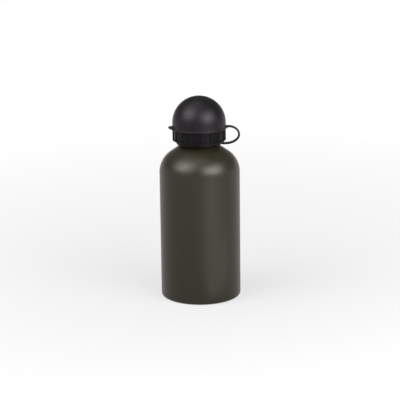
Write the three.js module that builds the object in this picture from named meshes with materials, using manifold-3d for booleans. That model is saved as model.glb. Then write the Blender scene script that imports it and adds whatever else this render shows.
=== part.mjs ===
// Aluminium water bottle with a sports cap: a painted shell, a screw cap with a push-pull spout,
// and a domed dust cover that hangs on the cap by a moulded strap and ring.
// Millimetres, +Z up. The origin is the centre of the plane that the bottle stands on.
import * as THREE from 'three';
import { mergeVertices } from 'three/addons/utils/BufferGeometryUtils.js';
import Module from 'manifold-3d';

const wasm = await Module();
wasm.setup();

// Fits
const seatGap = 0.3; // between two pieces that rest on each other
const runningGap = 0.3; // radial, between two pieces that slide or turn on each other

// Bottle shell
const bodyRadius = 36.5;
const shellWall = 1.0;
const baseCornerRadius = 2.8;
const restingRingWidth = 4.0;
const baseRise = 5.0; // height of the pushed-up middle of the base
const bodyHeight = 116.2; // from the resting plane to the start of the shoulder
const shoulderRadius = 22.0;
const shoulderSlope = 35; // degrees, of the cone from the round shoulder up to the neck
const neckFillet = 1.5;
const neckRadius = 18.2;
const neckLength = 11.7; // straight neck above its fillet
const lipWidth = 1.8; // rolled rim of the mouth
const lipDepth = 2.2;

// Seal ring
const sealThickness = 1.5;
const sealReach = 0.5; // how far the seal reaches inside the lip

// Screw cap, from the neck outwards and from the deck downwards
const threadRoom = 1.1;
const collarWall = 1.1;
const collarBead = 0.3; // keeps the tether ring on the collar
const collarBeadHeight = 1.9;
const collarChamfer = 0.8; // of the collar's lower edge
const skirtCavity = 1.3;
const skirtWall = 1.5;
const skirtHeight = 9.8;
const ribDepth = 1.0;
const ribWidth = 1.7;
const ribCrestWidth = 0.85;
const ribChamfer = 0.33;
const ribCount = 16;
const rimBandHeight = 1.1;
const deckThickness = 2.0;
const ledgeDrop = 1.4; // from the deck's top to the ledge under the dust cover
const ledgeThickness = 2.0;
const coverSeatHeight = 2.9; // wall that the dust cover snaps over
const coverSeatWall = 1.9;
const coverSeatDraft = 0.4;
const coverFit = 0.35; // radial, at the foot of that wall
const mouldedEdge = 0.3; // broken edges of the cap and of the dust cover

// Drinking valve: stem and pin on the cap, and the spout that slides on them
const stemRadius = 5.5;
const stemBore = 4.0;
const stemBead = 0.7; // stops the spout at the end of its travel
const stemBeadHeight = 0.9;
const pinRadius = 1.9;
const pinTipRadius = 1.1;
const pinTipDrop = 1.0; // pin's tip below the mouth of the shut spout
const webCount = 3;
const webThickness = 1.2;
const webHeight = 3.0;
const spoutTravel = 6.0;
const spoutGuide = 1.0; // height of the lip that guides the spout on its stem
const spoutWall = 1.4;
const spoutFlange = 1.3; // how far the finger flange stands out
const spoutFlangeHeight = 3.0;
const spoutHeight = 17.6;
const mouthpieceRadius = 7.2;
const mouthpieceWaist = 6.6;
const mouthpieceHeight = 5.6;
const mouthpieceRounding = 1.8;
const spoutEdge = 0.6;

// Air valve
const valveStemRadius = 1.1;
const valveBulb = 0.7;
const valveBulbHeight = 1.8;
const valveBulbFoot = 0.6;
const valveDiscThickness = 0.9;
const valveLipThickness = 0.3;
const valveFlatShare = 0.6; // of the disc's radius, flat underneath
const valveClear = 1.2; // from the spout's flange to the valve's bulb
const airHoleShare = 0.3; // hole's radius, of the room between the valve's stem and its disc's edge
const airHoleCount = 4;

// Dust cover, strap and tether ring
const coverWall = 1.6;
const coverStraight = 5.7; // straight wall under the hemisphere
const coverLip = 0.25;
const coverLipHeight = 1.4;
const tabReach = 3.8;
const tabWidth = 12.0;
const tabThickness = 2.0;
const tabTipThickness = 0.9;
const tabFlank = 0.45; // share of the reach where the tab's sides turn in
const tabTip = 0.6; // share of the half width where its tip turns in
const strapThickness = 1.6;
const strapWidth = 2.6;
const strapRise = 1.2; // from the cover's rim to the middle of the strap
const strapUpperStraight = 0.9; // from the root to the start of the bend
const strapLowerStraight = 1.7;
const strapReach = 13.1;
const strapDrop = 15.6; // from the strap's upper run to its lower run
const strapSplit = 0.3;
const lugReach = 0.9;
const lugWidth = 3.4;
const ringThickness = 1.4;
const ringWidth = 0.9;

// Facets of the round pieces
const roundSteps = 48;
const smallSteps = 32;
const valveSteps = 20;
const holeSteps = 10;
const cornerSteps = 4;
const lipSteps = 6;
const domeSteps = 12;
const domeInnerSteps = 10;
const strapSteps = 12;
const curveSteps = 6;
const quarterHandle = 0.5523; // handle that makes a Bezier curve a quarter of an ellipse

// Heights and radii that follow from the sizes above
const coneSlope = (shoulderSlope * Math.PI) / 180;
const shoulderSweep = Math.PI / 2 - coneSlope;
const shoulderCentreRadius = bodyRadius - shoulderRadius;
const coneRadius = shoulderCentreRadius + shoulderRadius * Math.cos(shoulderSweep);
const coneFoot = bodyHeight + shoulderRadius * Math.sin(shoulderSweep);
const filletCentreRadius = neckRadius + neckFillet;
const coneRun = coneRadius - filletCentreRadius;
const neckFoot = coneFoot + (neckFillet + coneRun * Math.sin(coneSlope)) / Math.cos(coneSlope);
const lipTop = neckFoot + neckLength;
const lipInner = neckRadius - lipWidth;

const sealBottom = lipTop + seatGap;
const sealInner = lipInner - sealReach;

const boreRadius = neckRadius + threadRoom;
const collarRadius = boreRadius + collarWall;
const skirtInner = collarRadius + skirtCavity;
const skirtRadius = skirtInner + skirtWall;
const gripRadius = skirtRadius + ribDepth;
const deckUnder = sealBottom + sealThickness + seatGap;
const deckTop = deckUnder + deckThickness;
const ledgeTop = deckTop - ledgeDrop;
const skirtBottom = ledgeTop - skirtHeight;
const ringTop = skirtBottom - seatGap;
const ringBottom = ringTop - ringThickness;
const beadTop = ringBottom - seatGap;
const collarBottom = beadTop - collarBeadHeight;

const coverInner = gripRadius - coverWall;
const coverRim = ledgeTop + seatGap;
const coverCentre = coverRim + coverStraight;
const coverSeatRadius = coverInner - coverFit;

const spoutBottom = deckTop + seatGap;
const spoutTop = spoutBottom + spoutHeight;
const stemBeadBottom = spoutBottom + spoutGuide + spoutTravel + seatGap;
const stemTop = stemBeadBottom + stemBeadHeight;
const chamberRadius = stemRadius + stemBead + runningGap;
const spoutRadius = chamberRadius + spoutWall;
const flangeRadius = spoutRadius + spoutFlange;

const valveOffset = flangeRadius + valveClear + valveStemRadius + valveBulb;
const valveDiscRadius = sealInner - valveOffset - runningGap;
const valveHoleRadius = valveStemRadius + runningGap;
const airHoleRadius = airHoleShare * (valveDiscRadius - valveHoleRadius);
const airHoleDistance = (valveDiscRadius + valveHoleRadius) / 2;

const ringInner = collarRadius + runningGap;
const ringOuter = ringInner + ringWidth;
const lugOuter = ringOuter + lugReach;
const strapTop = coverRim + strapRise;
const strapBottom = strapTop - strapDrop;
const strapMiddle = strapTop - strapDrop / 2;

// A point of a profile: distance from the axis, and height
function at(radius, height) {
  return new THREE.Vector2(radius, height);
}

// Points along an arc of a profile, with angles in radians counted from straight out
function arc(centreRadius, centreHeight, radius, start, end, steps) {
  const points = [];
  for (let step = 0; step <= steps; step += 1) {
    const angle = start + ((end - start) * step) / steps;
    points.push(at(centreRadius + radius * Math.cos(angle), centreHeight + radius * Math.sin(angle)));
  }
  return points;
}

// One closed body: shared corners merged, collapsed triangles dropped, faces pointing out
function closedBody(geometry) {
  geometry.deleteAttribute('normal');
  geometry.deleteAttribute('uv');
  const merged = mergeVertices(geometry, 1e-4);
  const corner = merged.attributes.position;
  const index = merged.index.array;
  const first = new THREE.Vector3();
  const second = new THREE.Vector3();
  const third = new THREE.Vector3();
  const kept = [];
  let volume = 0;
  for (let i = 0; i < index.length; i += 3) {
    const [a, b, c] = [index[i], index[i + 1], index[i + 2]];
    if (a !== b && b !== c && c !== a) {
      kept.push(a, b, c);
      first.fromBufferAttribute(corner, a);
      second.fromBufferAttribute(corner, b);
      third.fromBufferAttribute(corner, c);
      volume += first.dot(second.cross(third));
    }
  }
  if (volume < 0) {
    kept.reverse();
  }
  merged.setIndex(kept);
  return merged;
}

function revolve(profile, steps) {
  return closedBody(new THREE.LatheGeometry(profile, steps).rotateX(Math.PI / 2));
}

// A ring's profile ends where it starts
function revolveRing(profile, steps) {
  return revolve([...profile, profile[0].clone()], steps);
}

function toSolid(geometry) {
  const vertProperties = new Float32Array(geometry.attributes.position.array);
  const triVerts = new Uint32Array(geometry.index.array);
  return new wasm.Manifold(new wasm.Mesh({ numProp: 3, vertProperties, triVerts }));
}

function toGeometry(solid) {
  const mesh = solid.getMesh();
  const geometry = new THREE.BufferGeometry();
  geometry.setAttribute('position', new THREE.BufferAttribute(mesh.vertProperties, 3));
  geometry.setIndex(new THREE.BufferAttribute(mesh.triVerts, 1));
  return geometry;
}

function unite(base, extras) {
  return toGeometry(extras.reduce((solid, extra) => solid.add(toSolid(extra)), toSolid(base)));
}

function cut(base, tools) {
  return toGeometry(tools.reduce((solid, tool) => solid.subtract(toSolid(tool)), toSolid(base)));
}

// A flat outline in X and Y, made solid from one height to another
function plate(outline, bottom, top) {
  const depth = top - bottom;
  const settings = { depth, bevelEnabled: false, curveSegments: curveSteps };
  return closedBody(new THREE.ExtrudeGeometry(outline, settings).translate(0, 0, bottom));
}

// A flat outline in X and Z, made solid to the same distance on both sides of Y = 0
function profilePlate(outline, width) {
  const geometry = new THREE.ExtrudeGeometry(outline, { depth: width, bevelEnabled: false });
  return closedBody(geometry.rotateX(Math.PI / 2).translate(0, width / 2, 0));
}

function rod(radius, bottom, top, steps) {
  return revolve([at(0, bottom), at(radius, bottom), at(radius, top), at(0, top)], steps);
}

// Bottle shell: the outside from the base's middle to the foot of the neck, or the same line
// moved into the material by inset
function shellLine(inset, steps) {
  const restingInner = bodyRadius - baseCornerRadius - restingRingWidth;
  const riseRadius = (restingInner ** 2 + baseRise ** 2) / (2 * baseRise);
  const riseCentre = baseRise - riseRadius;
  const riseEdge = Math.acos((inset - riseCentre) / (riseRadius + inset));
  const base = arc(0, riseCentre, riseRadius + inset, Math.PI / 2, Math.PI / 2 - riseEdge, steps);
  base[0].x = 0;
  const cornerCentre = bodyRadius - baseCornerRadius;
  const cornerRadius = baseCornerRadius - inset;
  const corner = arc(cornerCentre, baseCornerRadius, cornerRadius, -Math.PI / 2, 0, cornerSteps);
  const shoulderLine = shoulderRadius - inset;
  const shoulder = arc(shoulderCentreRadius, bodyHeight, shoulderLine, 0, shoulderSweep, 2 * steps);
  const filletStart = Math.PI + shoulderSweep;
  const fillet = arc(filletCentreRadius, neckFoot, neckFillet + inset, filletStart, Math.PI, steps);
  return [...base, ...corner, ...shoulder, ...fillet];
}

function bottleShell() {
  const outside = shellLine(0, 4);
  const lipRadius = lipWidth / 2;
  const lip = arc(neckRadius - lipRadius, lipTop - lipRadius, lipRadius, 0, Math.PI, lipSteps);
  const lipBottom = lipTop - lipDepth;
  const lipFoot = [at(lipInner, lipBottom), at(neckRadius - shellWall, lipBottom - shellWall)];
  const inside = shellLine(shellWall, 3).reverse();
  return revolve([...outside, ...lip, ...lipFoot, ...inside], roundSteps);
}

function sealRing() {
  const outer = boreRadius - runningGap;
  const top = sealBottom + sealThickness;
  const section = [at(sealInner, sealBottom), at(outer, sealBottom), at(outer, top), at(sealInner, top)];
  return revolveRing(section, roundSteps);
}

// Screw cap: the revolved wall section, from the stem's bore round by the skirt and the cover seat
function capSection() {
  const beadRadius = collarRadius + collarBead;
  const cavityTop = ledgeTop - ledgeThickness;
  const bandTop = skirtBottom + rimBandHeight;
  const seatTop = ledgeTop + coverSeatHeight;
  const seatInner = coverSeatRadius - coverSeatWall;
  const stemBeadRadius = stemRadius + stemBead;
  const threadSide = [at(stemBore, deckUnder), at(boreRadius, deckUnder), at(boreRadius, collarBottom)];
  const collar = [
    at(beadRadius - collarChamfer, collarBottom),
    at(beadRadius, collarBottom + collarChamfer),
    at(beadRadius, beadTop - mouldedEdge),
    at(collarRadius, beadTop),
    at(collarRadius, cavityTop),
  ];
  const skirt = [
    at(skirtInner, cavityTop),
    at(skirtInner, skirtBottom),
    at(gripRadius - mouldedEdge, skirtBottom),
    at(gripRadius, skirtBottom + mouldedEdge),
    at(gripRadius, bandTop - mouldedEdge),
    at(skirtRadius, bandTop + mouldedEdge),
    at(skirtRadius, ledgeTop),
  ];
  const coverSeat = [
    at(coverSeatRadius, ledgeTop),
    at(coverSeatRadius - coverSeatDraft, seatTop - mouldedEdge),
    at(coverSeatRadius - coverSeatDraft - mouldedEdge, seatTop),
    at(seatInner, seatTop),
    at(seatInner, deckTop),
  ];
  const stem = [
    at(stemRadius, deckTop),
    at(stemRadius, stemBeadBottom),
    at(stemBeadRadius, stemBeadBottom + mouldedEdge),
    at(stemRadius, stemTop),
    at(stemBore, stemTop),
  ];
  return [...threadSide, ...collar, ...skirt, ...coverSeat, ...stem];
}

function gripRib(turn) {
  const foot = skirtRadius - skirtWall / 2;
  const shoulder = gripRadius - ribChamfer;
  const half = ribWidth / 2;
  const crest = ribCrestWidth / 2;
  const outline = new THREE.Shape([
    at(foot, -half),
    at(shoulder, -half),
    at(gripRadius, -crest),
    at(gripRadius, crest),
    at(shoulder, half),
    at(foot, half),
  ]);
  return plate(outline, skirtBottom + rimBandHeight / 2, ledgeTop).rotateZ(turn);
}

// Closed centre pin of the drinking valve, and the webs that hold it in the stem's bore
function pin() {
  const top = spoutTop - pinTipDrop;
  const profile = [
    at(0, deckUnder),
    at(pinRadius, deckUnder),
    at(pinRadius, top - pinRadius + pinTipRadius),
    at(pinTipRadius, top),
    at(0, top),
  ];
  return revolve(profile, smallSteps);
}

function pinWeb(turn) {
  const inner = pinRadius / 2;
  const outer = (stemBore + stemRadius) / 2;
  const half = webThickness / 2;
  const outline = new THREE.Shape([at(inner, -half), at(outer, -half), at(outer, half), at(inner, half)]);
  return plate(outline, deckUnder, deckUnder + webHeight).rotateZ(turn);
}

function airHole(turn) {
  const hole = rod(airHoleRadius, deckUnder - seatGap, deckTop + seatGap, holeSteps);
  return hole.translate(airHoleDistance, 0, 0).rotateZ(turn).translate(0, valveOffset, 0);
}

function screwCap() {
  const wall = revolveRing(capSection(), roundSteps);
  const parts = [pin()];
  for (let rib = 0; rib < ribCount; rib += 1) {
    parts.push(gripRib((rib * 2 * Math.PI) / ribCount));
  }
  for (let web = 0; web < webCount; web += 1) {
    parts.push(pinWeb((web * 2 * Math.PI) / webCount));
  }
  const stemHole = rod(valveHoleRadius, deckUnder - seatGap, deckTop + seatGap, holeSteps);
  const holes = [stemHole.translate(0, valveOffset, 0)];
  for (let hole = 0; hole < airHoleCount; hole += 1) {
    holes.push(airHole(((hole + 0.5) * 2 * Math.PI) / airHoleCount));
  }
  return cut(unite(wall, parts), holes);
}

// Air valve: a disc that shuts the air holes from below, a stem through the deck and a bulb on top
function airValve() {
  const discTop = deckUnder - seatGap;
  const bulbBottom = deckTop + seatGap;
  const bulbRadius = valveStemRadius + valveBulb;
  const discBottom = discTop - valveDiscThickness;
  const profile = [
    at(0, discBottom),
    at(valveDiscRadius * valveFlatShare, discBottom),
    at(valveDiscRadius, discTop - valveLipThickness),
    at(valveDiscRadius, discTop),
    at(valveStemRadius, discTop),
    at(valveStemRadius, bulbBottom),
    at(bulbRadius, bulbBottom),
    at(bulbRadius, bulbBottom + valveBulbFoot),
    at(valveStemRadius / 2, bulbBottom + valveBulbHeight),
    at(0, bulbBottom + valveBulbHeight),
  ];
  return revolve(profile, valveSteps);
}

// Spout: a sleeve with a finger flange, a chamber over the stem's bead and a rounded mouthpiece
function spout() {
  const guideRadius = stemRadius + runningGap;
  const guideTop = spoutBottom + spoutGuide;
  const flangeTop = spoutBottom + spoutFlangeHeight;
  const chamberTop = stemTop + seatGap;
  const mouthRadius = pinRadius + runningGap;
  const throat = chamberTop + chamberRadius - mouthRadius - spoutWall;
  const waistHeight = spoutTop - mouthpieceHeight;
  const lipCentre = mouthpieceRadius - mouthpieceRounding;
  const lipFoot = spoutTop - mouthpieceRounding;
  const lip = arc(lipCentre, lipFoot, mouthpieceRounding, 0, Math.PI / 2, cornerSteps);
  const profile = [
    at(guideRadius, spoutBottom),
    at(flangeRadius - spoutEdge, spoutBottom),
    at(flangeRadius, spoutBottom + spoutEdge),
    at(flangeRadius, flangeTop - spoutEdge),
    at(flangeRadius - spoutEdge, flangeTop),
    at(spoutRadius, flangeTop + spoutEdge),
    at(spoutRadius, chamberTop),
    at(mouthpieceWaist, waistHeight),
    ...lip,
    at(mouthRadius, spoutTop),
    at(mouthRadius, throat),
    at(chamberRadius, chamberTop),
    at(chamberRadius, guideTop),
    at(guideRadius, guideTop),
  ];
  return revolveRing(profile, smallSteps);
}

// Dust cover: a hemisphere on a short straight wall, with a rolled lip round its rim
function coverShell() {
  const lipRadius = gripRadius + coverLip;
  const lipTopEdge = coverRim + coverLipHeight;
  const outside = arc(0, coverCentre, gripRadius, 0, Math.PI / 2, domeSteps);
  const inside = arc(0, coverCentre, coverInner, Math.PI / 2, 0, domeInnerSteps);
  outside[domeSteps].x = 0;
  inside[0].x = 0;
  const rim = [
    at(lipRadius - mouldedEdge, coverRim),
    at(lipRadius, coverRim + mouldedEdge),
    at(lipRadius, lipTopEdge - mouldedEdge),
    at(gripRadius, lipTopEdge),
  ];
  const mouth = [at(coverInner, coverRim + mouldedEdge), at(coverInner + mouldedEdge, coverRim)];
  const profile = [...inside, ...mouth, ...rim, ...outside];
  return revolve(profile, roundSteps);
}

// Leaf-shaped lift tab on the rim, opposite the strap, with an underside that rises to its tip
function liftTab() {
  const half = tabWidth / 2;
  const root = -(gripRadius + coverInner) / 2;
  const tip = -(gripRadius + tabReach);
  const flank = -(gripRadius + tabReach * tabFlank);
  const outline = new THREE.Shape();
  outline.moveTo(root, -half);
  outline.bezierCurveTo(flank, -half, tip, -half * tabTip, tip, 0);
  outline.bezierCurveTo(tip, half * tabTip, flank, half, root, half);
  outline.closePath();
  const bottom = coverRim + strapRise - tabThickness / 2;
  const rise = tabThickness - tabTipThickness;
  const beyond = tip - tabReach;
  const under = new THREE.Shape([
    at(-gripRadius, bottom),
    at(beyond, bottom + 2 * rise),
    at(beyond, bottom - tabThickness),
    at(-gripRadius, bottom - tabThickness),
  ]);
  return cut(plate(outline, bottom, bottom + tabThickness), [profilePlate(under, 2 * tabWidth)]);
}

// Gusset that the strap's upper run grows from
function coverLug() {
  const root = (gripRadius + coverInner) / 2;
  const face = gripRadius + coverLip + lugReach;
  const top = strapTop + strapThickness / 2;
  const outline = new THREE.Shape([
    at(root, coverRim + seatGap),
    at(gripRadius + coverLip, coverRim + seatGap),
    at(face, strapTop - strapThickness / 2),
    at(face, top),
    at(root, top),
  ]);
  return profilePlate(outline, lugWidth);
}

function dustCover() {
  return unite(coverShell(), [liftTab(), coverLug()]);
}

// One half of the strap, from its root to the split in the outermost part of the loop
function strapHalf(rootX, straight, runHeight, side) {
  const bendStart = rootX + straight;
  const bendEnd = gripRadius + strapReach - strapThickness / 2;
  const endHeight = strapMiddle + (side * strapSplit) / 2;
  const bend = new THREE.CubicBezierCurve3(
    new THREE.Vector3(bendStart, 0, runHeight),
    new THREE.Vector3(bendStart + (bendEnd - bendStart) * quarterHandle, 0, runHeight),
    new THREE.Vector3(bendEnd, 0, endHeight + (runHeight - endHeight) * quarterHandle),
    new THREE.Vector3(bendEnd, 0, endHeight),
  );
  const path = new THREE.CurvePath();
  path.add(new THREE.LineCurve3(new THREE.Vector3(rootX, 0, runHeight), bend.v0.clone()));
  path.add(bend);
  const section = new THREE.Shape();
  section.absellipse(0, 0, strapThickness / 2, strapWidth / 2, 0, 2 * Math.PI);
  const settings = { steps: strapSteps, extrudePath: path, curveSegments: curveSteps };
  return closedBody(new THREE.ExtrudeGeometry(section, settings));
}

// Tether ring on the cap's collar, with the lug that the strap's lower run grows from
function tetherRing() {
  const outside = [at(ringOuter, ringBottom), at(ringOuter, ringTop)];
  const inside = [at(ringInner, ringTop), at(ringInner, ringBottom)];
  const ring = revolveRing([...outside, ...inside], roundSteps);
  const lugInner = collarRadius + collarBead + runningGap;
  const lugBottom = strapBottom - strapThickness / 2;
  const outline = new THREE.Shape([
    at(lugInner, lugBottom),
    at(lugOuter, lugBottom),
    at(lugOuter, strapBottom + strapThickness / 2),
    at(ringOuter, ringTop),
    at(lugInner, ringTop),
  ]);
  return unite(ring, [profilePlate(outline, lugWidth)]);
}

// Materials
const olivePaint = new THREE.MeshStandardMaterial({ color: 0x45423a, roughness: 0.5, metalness: 0.3 });
const blackPlastic = new THREE.MeshStandardMaterial({ color: 0x1c1b1c, roughness: 0.55, metalness: 0 });
const blackRubber = new THREE.MeshStandardMaterial({ color: 0x242324, roughness: 0.6, metalness: 0 });
const silicone = new THREE.MeshStandardMaterial({ color: 0xb9b9b2, roughness: 0.6, metalness: 0 });

function piece(name, geometry, material) {
  const mesh = new THREE.Mesh(geometry, material);
  mesh.name = name;
  return mesh;
}

const capAssembly = new THREE.Group();
const valve = piece('air_valve', airValve(), silicone);
valve.position.y = valveOffset;
capAssembly.add(piece('screw_cap', screwCap(), blackPlastic));
capAssembly.add(piece('seal_ring', sealRing(), silicone));
capAssembly.add(valve);
capAssembly.add(piece('spout', spout(), blackPlastic));

const coverAssembly = new THREE.Group();
const upperRoot = gripRadius + coverLip + lugReach + seatGap;
const lowerRoot = lugOuter + seatGap;
const upperStrap = strapHalf(upperRoot, strapUpperStraight, strapTop, 1);
const lowerStrap = strapHalf(lowerRoot, strapLowerStraight, strapBottom, -1);
coverAssembly.add(piece('dome_cover', dustCover(), blackRubber));
coverAssembly.add(piece('strap_upper', upperStrap, blackRubber));
coverAssembly.add(piece('strap_lower', lowerStrap, blackRubber));
coverAssembly.add(piece('tether_ring', tetherRing(), blackRubber));

const bottle = new THREE.Group();
bottle.add(piece('bottle_shell', bottleShell(), olivePaint));
bottle.add(capAssembly);
bottle.add(coverAssembly);

export default bottle;
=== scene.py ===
"""Looks of a painted aluminium water bottle with a sports cap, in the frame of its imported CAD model."""
import math
from collections import namedtuple

import bmesh
import bpy
from mathutils import Matrix, Vector


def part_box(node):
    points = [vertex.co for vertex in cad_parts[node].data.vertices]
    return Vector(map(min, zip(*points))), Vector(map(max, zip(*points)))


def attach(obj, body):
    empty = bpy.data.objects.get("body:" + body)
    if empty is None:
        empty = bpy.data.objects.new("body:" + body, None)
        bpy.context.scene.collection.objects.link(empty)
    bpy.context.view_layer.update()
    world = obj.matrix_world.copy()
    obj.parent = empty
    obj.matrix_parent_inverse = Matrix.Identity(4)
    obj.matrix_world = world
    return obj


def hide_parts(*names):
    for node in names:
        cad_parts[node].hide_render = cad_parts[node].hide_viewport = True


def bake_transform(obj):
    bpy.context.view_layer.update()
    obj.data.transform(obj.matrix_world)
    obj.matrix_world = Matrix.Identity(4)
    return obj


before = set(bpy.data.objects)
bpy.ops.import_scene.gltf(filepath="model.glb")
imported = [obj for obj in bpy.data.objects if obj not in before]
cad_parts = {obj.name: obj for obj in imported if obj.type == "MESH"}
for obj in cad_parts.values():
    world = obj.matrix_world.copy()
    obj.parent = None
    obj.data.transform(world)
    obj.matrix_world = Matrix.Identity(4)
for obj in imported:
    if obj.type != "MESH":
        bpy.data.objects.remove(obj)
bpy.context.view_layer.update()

mm = 0.001
full_turn = 2 * math.pi

# Sizes from the frame
shell_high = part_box("bottle_shell")[1]
cap_low, cap_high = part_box("screw_cap")
seal_low, seal_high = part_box("seal_ring")
valve_low, valve_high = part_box("air_valve")
spout_low, spout_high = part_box("spout")
cover_low, cover_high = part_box("dome_cover")
strap_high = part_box("strap_upper")[1]
strap_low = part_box("strap_lower")[0]
ring_low, ring_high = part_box("tether_ring")

body_radius = shell_high.y
lip_top = shell_high.z
grip_radius = cap_high.y
collar_bottom = cap_low.z
pin_top = cap_high.z
cover_rim = cover_low.z
cover_centre = cover_high.z - grip_radius
cover_lip_radius = cover_high.y
ring_outer = ring_high.y
ring_top = ring_high.z

# Room between pieces, and the rounding of a moulded edge
gap = 0.3 * mm
edge = 0.3 * mm

# Bottle shell, with its slope in degrees
shell_wall = 1.0 * mm
base_corner = 2.8 * mm
resting_ring = 4.0 * mm
base_rise = 5.0 * mm
body_height = 116.2 * mm
shoulder_radius = 22.0 * mm
shoulder_slope = 35.0
neck_radius = 18.2 * mm
neck_groove = 0.6 * mm
neck_foot = 142.2 * mm
lip_width = 1.8 * mm
lip_depth = 2.2 * mm

# Thread of the neck and the cap, with its section in shares of the pitch
thread_pitch = 4.0 * mm
thread_depth = 0.75 * mm
thread_start = 143.6 * mm
thread_end = 150.6 * mm
thread_half_width = 0.3
thread_flank = 0.18

# Screw cap
bore_radius = 19.3 * mm
collar_radius = 20.4 * mm
collar_bead = 0.3 * mm
collar_bead_height = 1.9 * mm
collar_chamfer = 0.8 * mm
skirt_inner = 21.7 * mm
skirt_radius = 23.2 * mm
skirt_bottom = ring_top + gap
skirt_roof = 2.0 * mm
rim_band = 1.1 * mm
deck_under = seal_high.z + gap
deck_top = deck_under + 2.0 * mm
ledge_top = cover_rim - gap
seat_radius = 22.25 * mm
seat_draft = 0.4 * mm
seat_height = 2.9 * mm
seat_wall = 1.9 * mm
stem_radius = 5.5 * mm
stem_bore = 4.0 * mm
stem_top = spout_low.z + 8.2 * mm
stem_bead = 0.7 * mm
stem_bead_crest = stem_top - 0.6 * mm
stem_bead_foot = stem_top - 0.9 * mm
pin_radius = 1.9 * mm
pin_tip = 1.0 * mm
pin_web_count = 3
pin_web_half = 0.6 * mm
pin_web_height = 3.0 * mm
pin_web_bevel = 0.2 * mm

# Grip ribs: distances from a rib's middle and the share of its height there, then the floor between
rib_count = 16
rib_pitch = full_turn / rib_count
rib_turn = math.radians(-2.0)
rib_side = [
    (0.0, 1.0),
    (0.25 * mm, 0.99),
    (0.50 * mm, 0.92),
    (0.72 * mm, 0.78),
    (0.88 * mm, 0.55),
    (0.98 * mm, 0.20),
    (1.12 * mm, 0.05),
    (1.40 * mm, 0.0),
]
rib_floor = [2.3 * mm, 3.5 * mm]

# Seal and air valve
seal_overlap = 0.5 * mm
valve_offset = (valve_low.y + valve_high.y) / 2
valve_disc = valve_high.x
valve_disc_flat = 0.6 * valve_disc
valve_disc_dish = 0.6 * mm
valve_disc_thickness = 0.9 * mm
valve_stem = 1.1 * mm
valve_bulb = 1.8 * mm
valve_bulb_foot = valve_high.z - 1.8 * mm
valve_bulb_shoulder = valve_high.z - 1.1 * mm
air_hole_count = 4
air_hole_share = 0.3

# Spout
spout_wall = 1.4 * mm
spout_guide = 1.0 * mm
spout_flange = 3.0 * mm
spout_flange_slope = 0.3 * mm
spout_waist = 6.6 * mm
spout_waist_depth = 5.6 * mm
spout_bite = 7.2 * mm
spout_bite_depth = 1.4 * mm
spout_tip = 6.2 * mm
spout_throat = 3.4 * mm

# Dust cover, its tab and its lug
cover_wall = 1.6 * mm
cover_lip_height = 1.4 * mm
tab_width = 12.0 * mm
tab_thickness = 2.0 * mm
tab_tip_thickness = 0.9 * mm
tab_flank_share = 0.45
tab_tip_share = 0.6
tab_bevel = 0.4 * mm
lug_width = 3.4 * mm
lug_bevel = 0.25 * mm
lug_web_reach = 1.6 * mm
lug_web_drop = 1.2 * mm
lug_web_share = 0.4

# Strap and its ring
strap_thickness = 1.9 * mm
strap_width = 2.6 * mm
strap_taper = 0.12 * mm
strap_roundness = 0.45
strap_line = 0.8 * mm
strap_top = strap_high.z - strap_line
strap_bottom = strap_low.z + strap_line
strap_middle = (strap_top + strap_bottom) / 2
strap_start = ring_outer + 1.2 * mm
strap_end = grip_radius + 1.0 * mm
strap_root = grip_radius - 0.5 * mm
strap_upper_bend = cover_high.x + 1.2 * mm
strap_lower_bend = ring_high.x + 2.0 * mm
strap_outermost = strap_high.x - strap_thickness / 2
ring_height = 1.4 * mm

# Fineness of the meshes
round_columns = 192
small_columns = 96
pin_columns = 48
hole_columns = 32
strap_columns = 24
strap_steps = 48
arc_steps = 40
lip_steps = 16
base_corner_steps = 12
tab_steps = 12
corner_steps = 5
bevel_steps = 3
thread_level = 0.25 * mm
shortest_edge = 0.001 * mm
sharp_angle = math.radians(50)

Point = namedtuple("Point", "radius height relief slot", defaults=(None, 0))


def smooth(value):
    """0 below 0, 1 above 1, and a smooth rise between."""
    value = min(max(value, 0.0), 1.0)
    return value * value * (3 - 2 * value)


def arc(centre_radius, centre_height, radius, start, end, steps=arc_steps):
    """Points along an arc of a profile, with angles in degrees counted from straight out."""
    points = []
    for step in range(steps + 1):
        angle = math.radians(start + (end - start) * step / steps)
        across = centre_radius + radius * math.cos(angle)
        points.append(Point(max(across, 0.0), centre_height + radius * math.sin(angle)))
    return points


def rounded(corners, ring=False):
    """A profile through corners of (radius, height, rounding), each corner turned into an arc."""
    points = []
    for index, (radius, height, rounding) in enumerate(corners):
        here = Vector((radius, height))
        is_end = not ring and index in (0, len(corners) - 1)
        if rounding == 0 or is_end:
            points.append(Point(radius, height))
            continue
        to_last = (Vector(corners[index - 1][:2]) - here).normalized()
        to_next = (Vector(corners[(index + 1) % len(corners)][:2]) - here).normalized()
        half = to_last.angle(to_next) / 2
        centre = here + (to_last + to_next).normalized() * (rounding / math.sin(half))
        reach = rounding / math.tan(half)
        first = here + to_last * reach - centre
        last = here + to_next * reach - centre
        start = math.degrees(math.atan2(first.y, first.x))
        turn = math.degrees(math.atan2(last.y, last.x)) - start
        turn = (turn + 180) % 360 - 180
        points += arc(centre.x, centre.y, rounding, start, start + turn, corner_steps)
    return points


def with_relief(points, relief):
    return [point._replace(relief=relief) for point in points]


def with_slot(points, slot):
    return [point._replace(slot=slot) for point in points]


def even_angles(columns):
    return [full_turn * column / columns for column in range(columns)]


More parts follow.
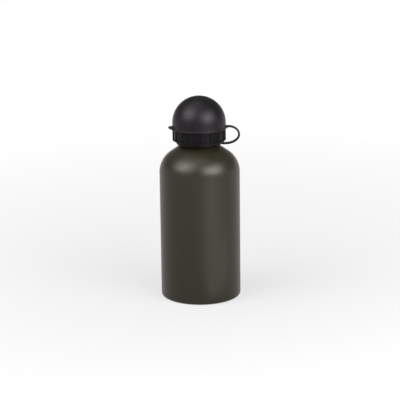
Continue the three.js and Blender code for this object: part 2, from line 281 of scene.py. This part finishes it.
def lathe(mesh, profile, angles, ring=False):
    """Adds a profile turned round the Z axis. A ring's profile ends where it starts."""
    rows = []
    for point in profile:
        if point.radius == 0:
            rows.append([mesh.verts.new((0, 0, point.height))] * len(angles))
            continue
        row = []
        for angle in angles:
            lift = point.relief(angle, point.height) if point.relief else 0
            x = (point.radius + lift) * math.cos(angle)
            y = (point.radius + lift) * math.sin(angle)
            row.append(mesh.verts.new((x, y, point.height)))
        rows.append(row)
    last = len(rows) if ring else len(rows) - 1
    for index in range(last):
        low = rows[index]
        high = rows[(index + 1) % len(rows)]
        for column in range(len(angles)):
            after = (column + 1) % len(angles)
            corners = dict.fromkeys([low[column], low[after], high[after], high[column]])
            face = mesh.faces.new(corners)
            face.material_index = profile[index].slot


def prism(mesh, first, second, bevel):
    """Adds the solid between two outlines with the same number of points, with its edges rounded."""
    low = [mesh.verts.new(point) for point in first]
    high = [mesh.verts.new(point) for point in second]
    faces = [mesh.faces.new(low), mesh.faces.new(high)]
    for index in range(len(low)):
        after = (index + 1) % len(low)
        faces.append(mesh.faces.new([low[index], low[after], high[after], high[index]]))
    sides = list({side for face in faces for side in face.edges})
    bmesh.ops.recalc_face_normals(mesh, faces=faces)
    bmesh.ops.bevel(
        mesh,
        geom=sides,
        offset=bevel,
        segments=bevel_steps,
        profile=0.5,
        affect="EDGES",
        clamp_overlap=True,
    )


def piece(name, mesh, body, nodes, slot, *materials):
    """Turns a bmesh into a smooth-shaded piece that rides on a body in place of its CAD nodes."""
    bmesh.ops.dissolve_degenerate(mesh, dist=shortest_edge, edges=mesh.edges)
    bmesh.ops.recalc_face_normals(mesh, faces=mesh.faces)
    for face in mesh.faces:
        face.smooth = True
    data = bpy.data.meshes.new(name)
    mesh.to_mesh(data)
    mesh.free()
    data.set_sharp_from_angle(angle=sharp_angle)
    for material in materials:
        data.materials.append(material)
    made = bpy.data.objects.new(name, data)
    bpy.context.scene.collection.objects.link(made)
    normals = made.modifiers.new("even_shading", "WEIGHTED_NORMAL")
    normals.keep_sharp = True
    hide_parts(*nodes)
    if body:
        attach(made, body)
    return made


# Materials
def new_material(name, roughness, specular, tint=(1, 1, 1), metallic=0.0):
    """A material and its shader, with what is the same all over set on the shader."""
    made = bpy.data.materials.new(name)
    made.use_nodes = True
    shader = made.node_tree.nodes["Principled BSDF"]
    shader.inputs["Roughness"].default_value = roughness
    shader.inputs["Specular IOR Level"].default_value = specular
    shader.inputs["Specular Tint"].default_value = (*tint, 1)
    shader.inputs["Metallic"].default_value = metallic
    return made, shader


def noise(tree, scale, detail=3.0, stretch=(1, 1, 1)):
    """A noise pattern in the frame's own metres."""
    place = tree.nodes.new("ShaderNodeTexCoord")
    mapping = tree.nodes.new("ShaderNodeMapping")
    mapping.inputs["Scale"].default_value = stretch
    pattern = tree.nodes.new("ShaderNodeTexNoise")
    pattern.inputs["Scale"].default_value = scale
    pattern.inputs["Detail"].default_value = detail
    tree.links.new(place.outputs["Object"], mapping.inputs["Vector"])
    tree.links.new(mapping.outputs["Vector"], pattern.inputs["Vector"])
    return pattern.outputs["Fac"]


def vary_colour(tree, shader, pattern, dark, light):
    mix = tree.nodes.new("ShaderNodeMix")
    mix.data_type = "RGBA"
    mix.inputs["A"].default_value = (*dark, 1)
    mix.inputs["B"].default_value = (*light, 1)
    tree.links.new(pattern, mix.inputs["Factor"])
    tree.links.new(mix.outputs["Result"], shader.inputs["Base Color"])


def vary_roughness(tree, shader, pattern, low, high):
    spread = tree.nodes.new("ShaderNodeMapRange")
    spread.inputs["To Min"].default_value = low
    spread.inputs["To Max"].default_value = high
    tree.links.new(pattern, spread.inputs["Value"])
    tree.links.new(spread.outputs["Result"], shader.inputs["Roughness"])


def add_bump(tree, shader, pattern, depth, strength):
    bump = tree.nodes.new("ShaderNodeBump")
    bump.inputs["Distance"].default_value = depth
    bump.inputs["Strength"].default_value = strength
    tree.links.new(pattern, bump.inputs["Height"])
    tree.links.new(bump.outputs["Normal"], shader.inputs["Normal"])


def olive_paint():
    """Satin paint with a fine orange-peel surface."""
    made, shader = new_material("olive_paint", roughness=0.36, specular=0.335, tint=(1.0, 0.95, 0.91))
    tree = made.node_tree
    dark = (0.0102, 0.0088, 0.0040)
    light = (0.0124, 0.0107, 0.0049)
    vary_colour(tree, shader, noise(tree, scale=900), dark, light)
    vary_roughness(tree, shader, noise(tree, scale=260), low=0.33, high=0.39)
    add_bump(tree, shader, noise(tree, scale=1600, detail=2.0), depth=0.03 * mm, strength=0.35)
    return made


def bare_aluminium():
    """Metal with the faint lines of its drawing round it."""
    made, shader = new_material("bare_aluminium", roughness=0.34, specular=0.5, metallic=1.0)
    tree = made.node_tree
    dark = (0.60, 0.60, 0.59)
    light = (0.70, 0.70, 0.69)
    vary_colour(tree, shader, noise(tree, scale=300), dark, light)
    drawn = noise(tree, scale=60, detail=4.0, stretch=(1, 1, 60))
    vary_roughness(tree, shader, drawn, low=0.28, high=0.42)
    return made


def moulded(name, dark, light, roughness, specular, grain):
    """Black plastic with the faint grain of its mould."""
    made, shader = new_material(name, roughness, specular, tint=(1.0, 0.91, 1.0))
    tree = made.node_tree
    spread = 0.05
    vary_colour(tree, shader, noise(tree, scale=220), dark, light)
    vary_roughness(tree, shader, noise(tree, scale=500), roughness - spread, roughness + spread)
    add_bump(tree, shader, noise(tree, scale=grain, detail=2.0), depth=0.02 * mm, strength=0.3)
    return made


def clear_silicone():
    """Cloudy rubber that light goes a little way into."""
    made, shader = new_material("silicone", roughness=0.5, specular=0.4)
    tree = made.node_tree
    dark = (0.44, 0.44, 0.41)
    light = (0.52, 0.52, 0.49)
    vary_colour(tree, shader, noise(tree, scale=400), dark, light)
    add_bump(tree, shader, noise(tree, scale=2500, detail=2.0), depth=0.02 * mm, strength=0.3)
    shader.inputs["Subsurface Weight"].default_value = 0.35
    shader.inputs["Subsurface Radius"].default_value = (0.8 * mm, 0.8 * mm, 0.7 * mm)
    return made


# Pieces
def thread(depth, first, last, phase):
    """Relief of a right-hand thread that runs out at both heights. Its phase is in turns."""

    def relief(angle, height):
        turn = angle / full_turn + phase
        centre = (round(height / thread_pitch - turn) + turn) * thread_pitch
        runs_out = smooth((centre - first) / thread_pitch) * smooth((last - centre) / thread_pitch)
        away = abs(height - centre) / thread_pitch
        return depth * runs_out * smooth((thread_half_width - away) / thread_flank)

    return relief


def levels(radius, start, end):
    """A straight wall of a profile, with levels close enough for the thread's relief."""
    count = max(1, round(abs(end - start) / thread_level))
    return [Point(radius, start + (end - start) * step / count) for step in range(count + 1)]


def shell_line(inset):
    """The shell's outside up to the top of its shoulder, or the same line moved in by inset."""
    resting_inner = body_radius - base_corner - resting_ring
    rise_radius = (resting_inner**2 + base_rise**2) / (2 * base_rise)
    rise_centre = base_rise - rise_radius
    rise_edge = math.degrees(math.acos((inset - rise_centre) / (rise_radius + inset)))
    base = arc(0, rise_centre, rise_radius + inset, 90, 90 - rise_edge)
    base[0] = base[0]._replace(radius=0)
    corner = arc(body_radius - base_corner, base_corner, base_corner - inset, -90, 0, base_corner_steps)
    sweep = 90 - shoulder_slope
    shoulder = arc(body_radius - shoulder_radius, body_height, shoulder_radius - inset, 0, sweep)
    return [*base, *corner, *shoulder]


def cone_height(radius, inset=0.0):
    """Height of the straight cone between the shoulder and the neck, outside or moved in by inset."""
    slope = math.radians(shoulder_slope)
    cone_radius = body_radius - shoulder_radius + shoulder_radius * math.sin(slope)
    cone_foot = body_height + shoulder_radius * math.cos(slope)
    return cone_foot + (cone_radius - radius) * math.tan(slope) - inset / math.cos(slope)


def bottle_shell(paint, metal):
    """The can with its threaded neck, painted outside up to the rolled lip and bare from there on."""
    paint_slot, metal_slot = 0, 1
    lip_radius = lip_width / 2
    lip_foot = lip_top - lip_depth
    rolled = thread(thread_depth, thread_start, thread_end, phase=0)
    groove = neck_radius - neck_groove
    groove_foot = Point(groove, cone_height(groove))
    neck = with_relief(levels(neck_radius, neck_foot, lip_foot), rolled)
    lip = arc(neck_radius - lip_radius, lip_top - lip_radius, lip_radius, 0, 180, lip_steps)
    lip_end = Point(neck_radius - lip_width, lip_foot)
    wall = neck_radius - shell_wall
    inner_neck = with_relief(levels(wall, lip_foot - shell_wall, neck_foot), rolled)
    inner_foot = Point(wall, cone_height(wall, shell_wall))
    painted = [*shell_line(0), groove_foot, *neck]
    bare = [*lip, lip_end, *inner_neck, inner_foot, *reversed(shell_line(shell_wall))]
    mesh = bmesh.new()
    profile = with_slot(painted, paint_slot) + with_slot(bare, metal_slot)
    lathe(mesh, profile, even_angles(round_columns))
    piece("painted_shell", mesh, "bottle", ["bottle_shell"], "painted_shell", paint, metal)


def rib_relief(angle, height):
    """Height of the grip ribs over the skirt: a round crest, a steep side and a small fillet."""
    away = abs((angle - rib_turn + rib_pitch / 2) % rib_pitch - rib_pitch / 2) * grip_radius
    depth = grip_radius - skirt_radius
    for (near, high), (far, low) in zip(rib_side, rib_side[1:]):
        if away <= far:
            return depth * (high + (low - high) * max(away - near, 0) / (far - near))
    return 0.0


def rib_angles():
    """Columns of the cap's mesh, close together on the ribs."""
    distances = [away for away, _ in rib_side] + rib_floor
    side = [away / grip_radius for away in distances]
    offsets = sorted({*side, *(-away for away in side), rib_pitch / 2})
    return [rib_turn + rib_pitch * rib + offset for rib in range(rib_count) for offset in offsets]


def cap_profile():
    """The cap's wall section, from the stem's bore round by the skirt and the cover's seat."""
    cavity_top = ledge_top - skirt_roof
    bead_top = collar_bottom + collar_bead_height
    bead_radius = collar_radius + collar_bead
    band_top = skirt_bottom + rim_band
    bore_foot = collar_bottom + edge
    moulded_thread = thread(-thread_depth, bore_foot, thread_end + thread_pitch / 2, phase=0.5)
    under = rounded([
        (stem_bore, deck_under, 0),
        (bore_radius - edge, deck_under, 0),
        (bore_radius, deck_under - edge, 0),
    ])
    bore = with_relief(levels(bore_radius, deck_under - 2 * edge, bore_foot), moulded_thread)
    collar = rounded([
        (bore_radius, collar_bottom, 0),
        (bead_radius - collar_chamfer, collar_bottom, edge / 3),
        (bead_radius, collar_bottom + collar_chamfer, edge),
        (bead_radius, bead_top - edge, edge / 2),
        (collar_radius, bead_top, 0),
        (collar_radius, cavity_top, edge),
        (skirt_inner, cavity_top, edge),
        (skirt_inner, skirt_bottom, edge),
        (grip_radius, skirt_bottom, edge),
        (grip_radius, band_top, edge / 2),
        (skirt_radius, band_top + edge / 4, 0),
    ])
    grip = with_relief([
        Point(skirt_radius, band_top + edge / 2),
        Point(skirt_radius, ledge_top - edge),
        Point(skirt_radius - 0.1 * edge, ledge_top - 0.5 * edge),
        Point(skirt_radius - 0.5 * edge, ledge_top - 0.1 * edge),
        Point(skirt_radius - edge, ledge_top),
    ], rib_relief)
    seat_top = ledge_top + seat_height
    seat_inner = seat_radius - seat_wall
    top = rounded([
        (skirt_radius - edge, ledge_top, 0),
        (seat_radius, ledge_top, edge),
        (seat_radius - seat_draft, seat_top, 2 * edge),
        (seat_inner, seat_top, 2 * edge),
        (seat_inner, deck_top, 2 * edge),
        (stem_radius, deck_top, 2 * edge),
        (stem_radius, stem_bead_foot, edge / 2),
        (stem_radius + stem_bead, stem_bead_crest, edge / 2),
        (stem_radius, stem_top, edge),
        (stem_bore, stem_top, 0),
    ])
    return [*under, *bore, *collar[:-1], *grip, *top[1:]]


def cut(mesh, tool):
    """What is left of one closed mesh when another is cut from it."""
    shapes = []
    for name, source in (("blank", mesh), ("tool", tool)):
        bmesh.ops.recalc_face_normals(source, faces=source.faces)
        data = bpy.data.meshes.new(name)
        source.to_mesh(data)
        source.free()
        shape = bpy.data.objects.new(name, data)
        bpy.context.scene.collection.objects.link(shape)
        shapes.append(shape)
    boolean = shapes[0].modifiers.new("cut", "BOOLEAN")
    boolean.object = shapes[1]
    left = bmesh.new()
    left.from_object(shapes[0], bpy.context.evaluated_depsgraph_get())
    for shape in shapes:
        bpy.data.meshes.remove(shape.data)
    return left


def deck_holes():
    """Rods where the air valve's stem and the air holes round it go through the deck."""
    stem_hole = valve_stem + gap
    room = valve_disc - stem_hole
    distance = stem_hole + room / 2
    places = [(Vector((0, 0)), stem_hole)]
    for hole in range(air_hole_count):
        turn = (hole + 0.5) * full_turn / air_hole_count
        places.append((Vector((math.cos(turn), math.sin(turn))) * distance, air_hole_share * room))
    depth = 2 * (deck_top - deck_under)
    deck_middle = (deck_under + deck_top) / 2
    mesh = bmesh.new()
    for place, radius in places:
        bmesh.ops.create_cone(
            mesh,
            cap_ends=True,
            segments=hole_columns,
            radius1=radius,
            radius2=radius,
            depth=depth,
            matrix=Matrix.Translation((place.x, place.y + valve_offset, deck_middle)),
        )
    return mesh


def centre_pin(mesh):
    """Adds the pin that shuts the spout, and the webs that hold it in the stem's bore."""
    pin = rounded([
        (0, deck_under, 0),
        (pin_radius, deck_under, edge),
        (pin_radius, pin_top, pin_tip),
        (0, pin_top, 0),
    ])
    lathe(mesh, pin, even_angles(pin_columns))
    web_inner = pin_radius / 2
    web_outer = (stem_bore + stem_radius) / 2
    corners = [
        (web_inner, -pin_web_half),
        (web_outer, -pin_web_half),
        (web_outer, pin_web_half),
        (web_inner, pin_web_half),
    ]
    for web in range(pin_web_count):
        turn = Matrix.Rotation(web * full_turn / pin_web_count, 3, "Z")
        low = [turn @ Vector((x, y, deck_under)) for x, y in corners]
        high = [turn @ Vector((x, y, deck_under + pin_web_height)) for x, y in corners]
        prism(mesh, low, high, pin_web_bevel)


def screw_cap(material):
    mesh = bmesh.new()
    lathe(mesh, cap_profile(), rib_angles(), ring=True)
    mesh = cut(mesh, deck_holes())
    centre_pin(mesh)
    piece("cap_moulding", mesh, "cap", ["screw_cap"], "cap_plastic", material)


def seal_ring(material):
    inner = neck_radius - lip_width - seal_overlap
    mesh = bmesh.new()
    corners = [
        (inner, seal_low.z, edge),
        (seal_high.x, seal_low.z, edge),
        (seal_high.x, seal_high.z, edge),
        (inner, seal_high.z, edge),
    ]
    lathe(mesh, rounded(corners, ring=True), even_angles(small_columns), ring=True)
    piece("seal", mesh, "cap", ["seal_ring"], "silicone", material)


def air_valve(material):
    """The umbrella valve: a dished disc under the deck, a stem through it and a bulb that holds it."""
    disc_top = valve_low.z + valve_disc_thickness
    mesh = bmesh.new()
    corners = [
        (0, valve_low.z, 0),
        (valve_disc_flat, valve_low.z, 0.6 * mm),
        (valve_disc, valve_low.z + valve_disc_dish, 0.1 * mm),
        (valve_disc, disc_top, 0.1 * mm),
        (valve_stem, disc_top, 0.2 * mm),
        (valve_stem, valve_bulb_foot, 0.2 * mm),
        (valve_bulb, valve_bulb_foot, 0.3 * mm),
        (valve_bulb, valve_bulb_shoulder, 0.5 * mm),
        (valve_stem / 2, valve_high.z, 0.4 * mm),
        (0, valve_high.z, 0),
    ]
    lathe(mesh, rounded(corners), even_angles(pin_columns))
    bmesh.ops.translate(mesh, verts=mesh.verts, vec=(0, valve_offset, 0))
    piece("umbrella_valve", mesh, "cap", ["air_valve"], "silicone", material)


def spout(material):
    """The push-pull nozzle, whose guide is caught under the bead of the cap's stem."""
    low, high = spout_low.z, spout_high.z
    flange = spout_high.y
    guide = stem_radius + gap
    guide_top = low + spout_guide
    chamber = stem_radius + stem_bead + gap
    chamber_top = stem_top + gap
    outer = chamber + spout_wall
    mouth = pin_radius + gap
    mesh = bmesh.new()
    corners = [
        (guide, low, 0.2 * mm),
        (flange, low, 0.6 * mm),
        (flange, low + spout_flange, 0.9 * mm),
        (outer, low + spout_flange + spout_flange_slope, 0.8 * mm),
        (outer, chamber_top, 2.0 * mm),
        (spout_waist, high - spout_waist_depth, 2.0 * mm),
        (spout_bite, high - spout_bite_depth, 1.2 * mm),
        (spout_tip, high, 1.0 * mm),
        (mouth, high, 0.4 * mm),
        (mouth, chamber_top + spout_throat, 0.5 * mm),
        (chamber, chamber_top, 0.5 * mm),
        (chamber, guide_top, 0.2 * mm),
        (guide, guide_top, 0.2 * mm),
    ]
    lathe(mesh, rounded(corners, ring=True), even_angles(small_columns), ring=True)
    piece("drinking_spout", mesh, "spout", ["spout"], "spout_plastic", material)


def tab_outline():
    """The lift tab from above: a curve from its root to the middle of its tip, and its mirror image."""
    root = -(grip_radius - cover_wall / 2)
    tip = cover_low.x
    flank = -grip_radius + (tip + grip_radius) * tab_flank_share
    half = tab_width / 2
    controls = [
        Vector((root, -half)),
        Vector((flank, -half)),
        Vector((tip, -half * tab_tip_share)),
        Vector((tip, 0)),
    ]
    points = []
    for step in range(tab_steps + 1):
        t = step / tab_steps
        weights = [(1 - t) ** 3, 3 * t * (1 - t) ** 2, 3 * t * t * (1 - t), t**3]
        points.append(sum((weight * point for weight, point in zip(weights, controls)), Vector((0, 0))))
    return points + [Vector((point.x, -point.y)) for point in reversed(points[:-1])]


def lift_tab(mesh):
    """Adds the leaf-shaped tab, whose underside rises to its tip."""
    reach = -cover_low.x - grip_radius
    top = strap_top + tab_thickness / 2
    low = []
    high = []
    for point in tab_outline():
        out = max(-point.x - grip_radius, 0) / reach
        thickness = tab_thickness + (tab_tip_thickness - tab_thickness) * out
        low.append(Vector((point.x, point.y, top - thickness)))
        high.append(Vector((point.x, point.y, top)))
    prism(mesh, low, high, tab_bevel)


def lug(mesh, corners):
    """Adds a block a little wider than the strap from a side view of (x, height) corners."""
    half = lug_width / 2
    near = [Vector((x, -half, z)) for x, z in corners]
    far = [Vector((x, half, z)) for x, z in corners]
    prism(mesh, near, far, lug_bevel)


def dust_cover(material):
    """The hollow dome with its lip, its lift tab and the lug where the strap ends."""
    inner = grip_radius - cover_wall
    outside = arc(0, cover_centre, grip_radius, 0, 90)
    inside = arc(0, cover_centre, inner, 90, 0)
    outside[-1] = outside[-1]._replace(radius=0)
    inside[0] = inside[0]._replace(radius=0)
    rim = rounded([
        (inner, cover_rim + 4 * edge, 0),
        (inner, cover_rim, edge),
        (cover_lip_radius, cover_rim, edge),
        (cover_lip_radius, cover_rim + cover_lip_height - edge, edge),
        (grip_radius, cover_rim + cover_lip_height, 0),
    ])
    mesh = bmesh.new()
    lathe(mesh, [*inside, *rim, *outside], even_angles(round_columns))
    lift_tab(mesh)
    root = grip_radius - cover_wall / 2
    lug_top = strap_top + strap_thickness / 2
    web_end = cover_high.x + lug_web_reach
    lug(mesh, [
        (root, cover_rim + edge),
        (cover_lip_radius, cover_rim + edge),
        (cover_lip_radius + edge / 3, cover_rim - lug_web_drop),
        (cover_high.x, cover_rim),
        (web_end, strap_top - lug_web_share * strap_thickness),
        (web_end, strap_top),
        (cover_high.x, lug_top),
        (root, lug_top),
    ])
    piece("dust_cover", mesh, "dome", ["dome_cover"], "cover_plastic", material)


def strap_path():
    """Middle line of the strap, from the ring's lug round the loop to the cover's lug."""
    points = [Vector((across, 0, strap_bottom)) for across in (ring_outer, strap_start)]
    rise = strap_top - strap_middle
    for step in range(strap_steps + 1):
        angle = math.radians(-90 + 180 * step / strap_steps)
        bend = strap_lower_bend if angle < 0 else strap_upper_bend
        across = bend + (strap_outermost - bend) * math.cos(angle)
        points.append(Vector((across, 0, strap_middle + rise * math.sin(angle))))
    points += [Vector((across, 0, strap_top)) for across in (strap_end, strap_root)]
    return points


def squared(share):
    """Pushes a circle's coordinate out, so that the circle becomes a square with round corners."""
    return math.copysign(abs(share) ** strap_roundness, share)


def strap(material):
    """The bent strap between ring and cover."""
    path = strap_path()
    mesh = bmesh.new()
    rows = []
    for index, point in enumerate(path):
        ahead = path[min(index + 1, len(path) - 1)] - path[max(index - 1, 0)]
        ahead.normalize()
        across = Vector((ahead.z, 0, -ahead.x))
        thickness = strap_thickness + strap_taper * (1 - 2 * abs(ahead.z))
        row = []
        for angle in even_angles(strap_columns):
            thick = thickness / 2 * squared(math.cos(angle))
            wide = strap_width / 2 * squared(math.sin(angle))
            row.append(mesh.verts.new(point + across * thick + Vector((0, wide, 0))))
        rows.append(row)
    for low, high in zip(rows, rows[1:]):
        for column in range(strap_columns):
            after = (column + 1) % strap_columns
            mesh.faces.new([low[column], low[after], high[after], high[column]])
    mesh.faces.new(rows[0])
    mesh.faces.new(rows[-1])
    made = piece("strap", mesh, None, ["strap_upper", "strap_lower"], "cover_plastic", material)
    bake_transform(made)


def tether_ring(material):
    """The ring that turns round the cap's collar, with the lug where the strap starts."""
    inner = collar_radius + gap
    low = ring_top - ring_height
    mesh = bmesh.new()
    corners = [
        (inner, low, edge),
        (ring_outer, low, 2 * edge),
        (ring_outer, ring_top, 2 * edge),
        (inner, ring_top, edge),
    ]
    lathe(mesh, rounded(corners, ring=True), even_angles(round_columns), ring=True)
    lug_inner = collar_radius + collar_bead + gap
    toe = lug_inner - collar_chamfer
    toe_top = collar_bottom - gap / 2
    lug(mesh, [
        (toe, ring_low.z),
        (ring_high.x, ring_low.z),
        (ring_high.x, strap_bottom + strap_thickness / 2),
        (ring_outer, ring_top),
        (lug_inner, ring_top),
        (lug_inner, toe_top + collar_chamfer),
        (toe, toe_top),
    ])
    piece("tether_loop", mesh, "tether", ["tether_ring"], "cover_plastic", material)


# Stage, in metres and degrees, with the camera's lens in millimetres
fill_strength = 0.10
wall_shade = 0.25
wall_foot = 1.0
wall_top = 14.0
floor_half = 8.0
floor_cells = 8
floor_grey = 0.12
# Painted shade: the floor's seen glow is dimmer near the bottle and brightens with distance from it.
floor_glow_in_painted_shade = 0.64
floor_far = 0.97
painted_shade_reach = 0.9
light_target = Vector((0, 0, 0.10))
low_light_height = 0.003
camera_pivot = Vector((0, 0, 0.092))
camera_target = Vector((0, 0, 0.0893))
camera_azimuth = -6.4
camera_elevation = 14.38
camera_roll = -0.73
camera_distance = 1.4
camera_lens = 138.06
camera_sensor = 36.0
camera_near = 0.01


def seen_directly(tree):
    """1 for rays from the camera, from gloss and through clear pieces, and 0 for other light."""
    path = tree.nodes.new("ShaderNodeLightPath")
    total = path.outputs["Is Camera Ray"]
    for name in ("Is Glossy Ray", "Is Transmission Ray"):
        either = tree.nodes.new("ShaderNodeMath")
        either.operation = "MAXIMUM"
        tree.links.new(total, either.inputs[0])
        tree.links.new(path.outputs[name], either.inputs[1])
        total = either.outputs["Value"]
    return total


def studio_world():
    """Walls that fade from a white foot where they are seen, and a soft even fill where they light."""
    world = bpy.data.worlds.new("studio")
    world.use_nodes = True
    tree = world.node_tree
    place = tree.nodes.new("ShaderNodeTexCoord")
    axes = tree.nodes.new("ShaderNodeSeparateXYZ")
    tree.links.new(place.outputs["Generated"], axes.inputs["Vector"])
    wall = tree.nodes.new("ShaderNodeMapRange")
    wall.interpolation_type = "SMOOTHSTEP"
    wall.inputs["From Min"].default_value = math.sin(math.radians(wall_foot))
    wall.inputs["From Max"].default_value = math.sin(math.radians(wall_top))
    wall.inputs["To Min"].default_value = 1.0
    wall.inputs["To Max"].default_value = wall_shade
    tree.links.new(axes.outputs["Z"], wall.inputs["Value"])
    spread = tree.nodes.new("ShaderNodeMapRange")
    spread.inputs["To Min"].default_value = fill_strength
    tree.links.new(wall.outputs["Result"], spread.inputs["To Max"])
    tree.links.new(seen_directly(tree), spread.inputs["Value"])
    tree.links.new(spread.outputs["Result"], tree.nodes["Background"].inputs["Strength"])
    tree.nodes["Background"].inputs["Color"].default_value = (1, 1, 1, 1)
    bpy.context.scene.world = world


def pale_floor():
    """White away from the bottle, with painted shade near it, where the floor's glow is dimmer, over a
    grey surface that keeps the bottle's real soft shadow.
    """
    made = bpy.data.materials.new("pale_floor")
    made.use_nodes = True
    tree = made.node_tree
    tree.nodes.remove(tree.nodes["Principled BSDF"])
    surface = tree.nodes.new("ShaderNodeBsdfDiffuse")
    surface.inputs["Color"].default_value = (floor_grey, floor_grey, floor_grey, 1)
    place = tree.nodes.new("ShaderNodeTexCoord")
    distance = tree.nodes.new("ShaderNodeVectorMath")
    distance.operation = "LENGTH"
    tree.links.new(place.outputs["Object"], distance.inputs[0])
    # Painted shade: the glow is dimmed near the bottle and brightens out to the far value.
    painted_shade_fade = tree.nodes.new("ShaderNodeMapRange")
    painted_shade_fade.inputs["From Min"].default_value = 0.0
    painted_shade_fade.inputs["From Max"].default_value = painted_shade_reach
    painted_shade_fade.inputs["To Min"].default_value = floor_glow_in_painted_shade
    painted_shade_fade.inputs["To Max"].default_value = floor_far
    tree.links.new(distance.outputs["Value"], painted_shade_fade.inputs["Value"])
    shown = tree.nodes.new("ShaderNodeMath")
    shown.operation = "MULTIPLY"
    tree.links.new(painted_shade_fade.outputs["Result"], shown.inputs[0])
    tree.links.new(seen_directly(tree), shown.inputs[1])
    glow = tree.nodes.new("ShaderNodeEmission")
    tree.links.new(shown.outputs["Value"], glow.inputs["Strength"])
    both = tree.nodes.new("ShaderNodeAddShader")
    tree.links.new(surface.outputs["BSDF"], both.inputs[0])
    tree.links.new(glow.outputs["Emission"], both.inputs[1])
    tree.links.new(both.outputs["Shader"], tree.nodes["Material Output"].inputs["Surface"])
    return made


def floor():
    mesh = bmesh.new()
    bmesh.ops.create_grid(mesh, x_segments=floor_cells, y_segments=floor_cells, size=floor_half)
    data = bpy.data.meshes.new("floor")
    mesh.to_mesh(data)
    mesh.free()
    data.materials.append(pale_floor())
    made = bpy.data.objects.new("floor", data)
    bpy.context.scene.collection.objects.link(made)


def towards(azimuth, elevation):
    """Direction from the object, with azimuth 0 towards -Y and 90 towards +X, in degrees."""
    turn = math.radians(azimuth)
    lift = math.radians(elevation)
    level = math.cos(lift)
    return Vector((math.sin(turn) * level, -math.cos(turn) * level, math.sin(lift)))


def softbox(name, location, back, size, watts):
    """A soft rectangular light, whose back looks in the direction that is given."""
    light = bpy.data.lights.new(name, "AREA")
    light.shape = "RECTANGLE"
    light.size, light.size_y = size
    light.energy = watts
    made = bpy.data.objects.new(name, light)
    bpy.context.scene.collection.objects.link(made)
    made.location = location
    made.rotation_euler = back.to_track_quat("Z", "Y").to_euler()


def aimed_softbox(name, azimuth, elevation, distance, size, watts):
    """A softbox at a distance from the bottle, turned to the middle of it."""
    direction = towards(azimuth, elevation)
    softbox(name, light_target + direction * distance, direction, size, watts)


def low_softbox(name, place, size, watts):
    """A softbox that lies on the floor in front of the bottle and shines up."""
    down = Vector((0, 0, -1))
    softbox(name, Vector((*place, low_light_height)), down, size, watts)


def lights():
    """Two soft pairs from the left and the right, one from above, and two low ones for the front."""
    aimed_softbox("left_box", -62, 42, 1.2, size=(1.30, 1.00), watts=13.8)
    aimed_softbox("left_core", -62, 40, 1.1, size=(0.60, 0.55), watts=5.6)
    aimed_softbox("right_box", 36, 33, 0.9, size=(1.04, 0.70), watts=9.0)
    aimed_softbox("right_core", 34, 28, 0.85, size=(0.50, 0.36), watts=4.7)
    aimed_softbox("top_box", -70, 78, 1.2, size=(1.00, 1.00), watts=5.0)
    low_softbox("low_box", (0.11, -0.30), size=(0.20, 0.50), watts=0.32)
    low_softbox("far_low_box", (0.30, -0.54), size=(0.36, 0.36), watts=0.8)


def camera():
    """The photograph's view: a long lens a little above the bottle, almost square to its strap."""
    data = bpy.data.cameras.new("camera")
    data.sensor_width = camera_sensor
    data.lens = camera_lens
    data.clip_start = camera_near
    made = bpy.data.objects.new("camera", data)
    bpy.context.scene.collection.objects.link(made)
    made.location = camera_pivot + towards(camera_azimuth, camera_elevation) * camera_distance
    look = camera_target - made.location
    roll = Matrix.Rotation(math.radians(camera_roll), 3, "Z")
    made.rotation_euler = (look.to_track_quat("-Z", "Y").to_matrix() @ roll).to_euler()
    bpy.context.scene.camera = made


cap_plastic = moulded(
    "cap_plastic",
    dark=(0.0012, 0.0010, 0.0012),
    light=(0.0020, 0.0017, 0.0020),
    roughness=0.40,
    specular=0.11,
    grain=2600,
)
spout_plastic = moulded(
    "spout_plastic",
    dark=(0.006, 0.006, 0.006),
    light=(0.009, 0.009, 0.009),
    roughness=0.36,
    specular=0.2,
    grain=3000,
)
cover_plastic = moulded(
    "cover_plastic",
    dark=(0.0020, 0.0017, 0.0020),
    light=(0.0030, 0.0025, 0.0030),
    roughness=0.42,
    specular=0.21,
    grain=2200,
)
silicone = clear_silicone()

bottle_shell(olive_paint(), bare_aluminium())
screw_cap(cap_plastic)
seal_ring(silicone)
air_valve(silicone)
spout(spout_plastic)
dust_cover(cover_plastic)
strap(cover_plastic)
tether_ring(cover_plastic)

studio_world()
floor()
lights()
camera()

bpy.context.scene.view_settings.view_transform = "Standard"
